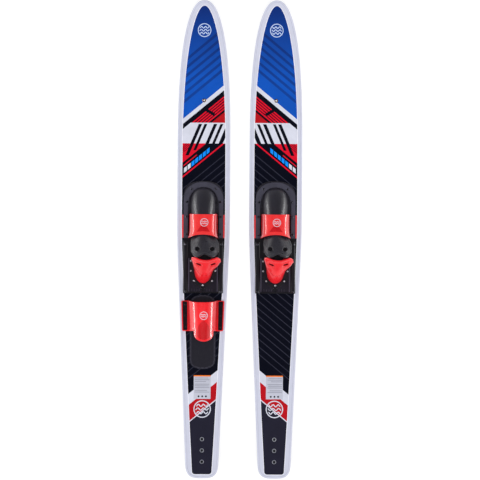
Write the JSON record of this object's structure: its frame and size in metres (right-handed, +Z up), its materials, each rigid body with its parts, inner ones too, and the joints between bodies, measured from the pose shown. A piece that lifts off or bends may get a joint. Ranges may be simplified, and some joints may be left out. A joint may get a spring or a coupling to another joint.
{
  "type": "water ski pair",
  "caption": "Combination water skis with upturned noses, tail fins, toe and sliding heel bindings, and a rear toe strap for riding on a single ski.",
  "frame": {"origin": "middle of the bounding box on the floor the skis lie on", "axes": "+Y towards the noses, +Z up out of the decks, +X towards the ski with no rear strap"},
  "size_m": [0.4448, 1.699, 0.169],
  "materials": {
    "shell_white": "smooth, slightly glossy, white moulded shell",
    "deck_print": "glossy printed sheet in blue, white, red and black",
    "label_film": "thin pale film",
    "eyelet_brass": "satin brass",
    "fin_plastic": "fine grained black plastic",
    "insert_brass": "machined",
    "screw_steel": "dark satin steel",
    "washer_plated": "plated",
    "screw_plated": "bright satin steel",
    "plate_plastic": "black moulded plastic",
    "frame_plastic": "dark grey moulded plastic",
    "lever_plastic": "black moulded plastic",
    "foam_black": "closed-cell foam with a fine texture",
    "rubber_black": "moulded rubber with a fine woven texture",
    "rubber_red": "glossy red moulded rubber"
  },
  "bodies": {
    "left_ski": {"left_ski_body": "shell_white", "left_deck_sheet": "deck_print", "left_label": "label_film", "left_tie_eyelet": "eyelet_brass", "left_fin": "fin_plastic", "left_fin_inserts": "insert_brass", "left_fin_screws": "screw_steel", "left_fin_washers": "washer_plated", "left_binding_inserts": "insert_brass", "left_binding_plate": "plate_plastic", "left_foot_bed": "foam_black", "left_toe_cap": "rubber_black", "left_instep_band": "rubber_red", "left_tongue": "rubber_black", "left_toe_frame": "frame_plastic", "left_toe_frame_screws": "screw_steel", "left_heel_tracks": "plate_plastic", "left_track_screws": "screw_steel", "left_rear_pad": "foam_black", "left_rear_strap": "rubber_red", "left_rear_clamps": "frame_plastic", "left_rear_screws": "screw_steel", "left_rear_inserts": "insert_brass"},
    "left_heel": {"left_heel_slide": "plate_plastic", "left_heel_pad": "foam_black", "left_heel_cup": "rubber_red", "left_heel_clamp": "frame_plastic", "left_heel_screws": "screw_plated", "left_lock_pin": "screw_steel"},
    "left_lever": {"left_lock_lever": "lever_plastic"},
    "right_ski": {"right_ski_body": "shell_white", "right_deck_sheet": "deck_print", "right_label": "label_film", "right_tie_eyelet": "eyelet_brass", "right_fin": "fin_plastic", "right_fin_inserts": "insert_brass", "right_fin_screws": "screw_steel", "right_fin_washers": "washer_plated", "right_binding_inserts": "insert_brass", "right_binding_plate": "plate_plastic", "right_foot_bed": "foam_black", "right_toe_cap": "rubber_black", "right_instep_band": "rubber_red", "right_tongue": "rubber_black", "right_toe_frame": "frame_plastic", "right_toe_frame_screws": "screw_steel", "right_heel_tracks": "plate_plastic", "right_track_screws": "screw_steel"},
    "right_heel": {"right_heel_slide": "plate_plastic", "right_heel_pad": "foam_black", "right_heel_cup": "rubber_red", "right_heel_clamp": "frame_plastic", "right_heel_screws": "screw_plated", "right_lock_pin": "screw_steel"},
    "right_lever": {"right_lock_lever": "lever_plastic"}
  },
  "joints": [
    {"name": "right_ski_apart", "type": "slide", "parent": "left_ski", "child": "right_ski", "axis": [1, 0, 0], "range_m": [-0.055, 0.25]},
    {"name": "left_heel_slide", "type": "slide", "parent": "left_ski", "child": "left_heel", "axis": [0, 0.9992, -0.0399], "range_m": [0, 0.025]},
    {"name": "left_lock_lever", "type": "hinge", "parent": "left_heel", "child": "left_lever", "pos_m": [-0.1285, -0.17535, 0.04785], "axis": [1, 0, 0], "range_deg": [-20, 0], "stiffness_Nm_per_rad": 0.02, "springref_deg": 17.19},
    {"name": "right_heel_slide", "type": "slide", "parent": "right_ski", "child": "right_heel", "axis": [0, 0.9992, -0.0399], "range_m": [0, 0.025]},
    {"name": "right_lock_lever", "type": "hinge", "parent": "right_heel", "child": "right_lever", "pos_m": [0.1285, -0.17535, 0.04785], "axis": [1, 0, 0], "range_deg": [-20, 0], "stiffness_Nm_per_rad": 0.02, "springref_deg": 17.19}
  ]
}
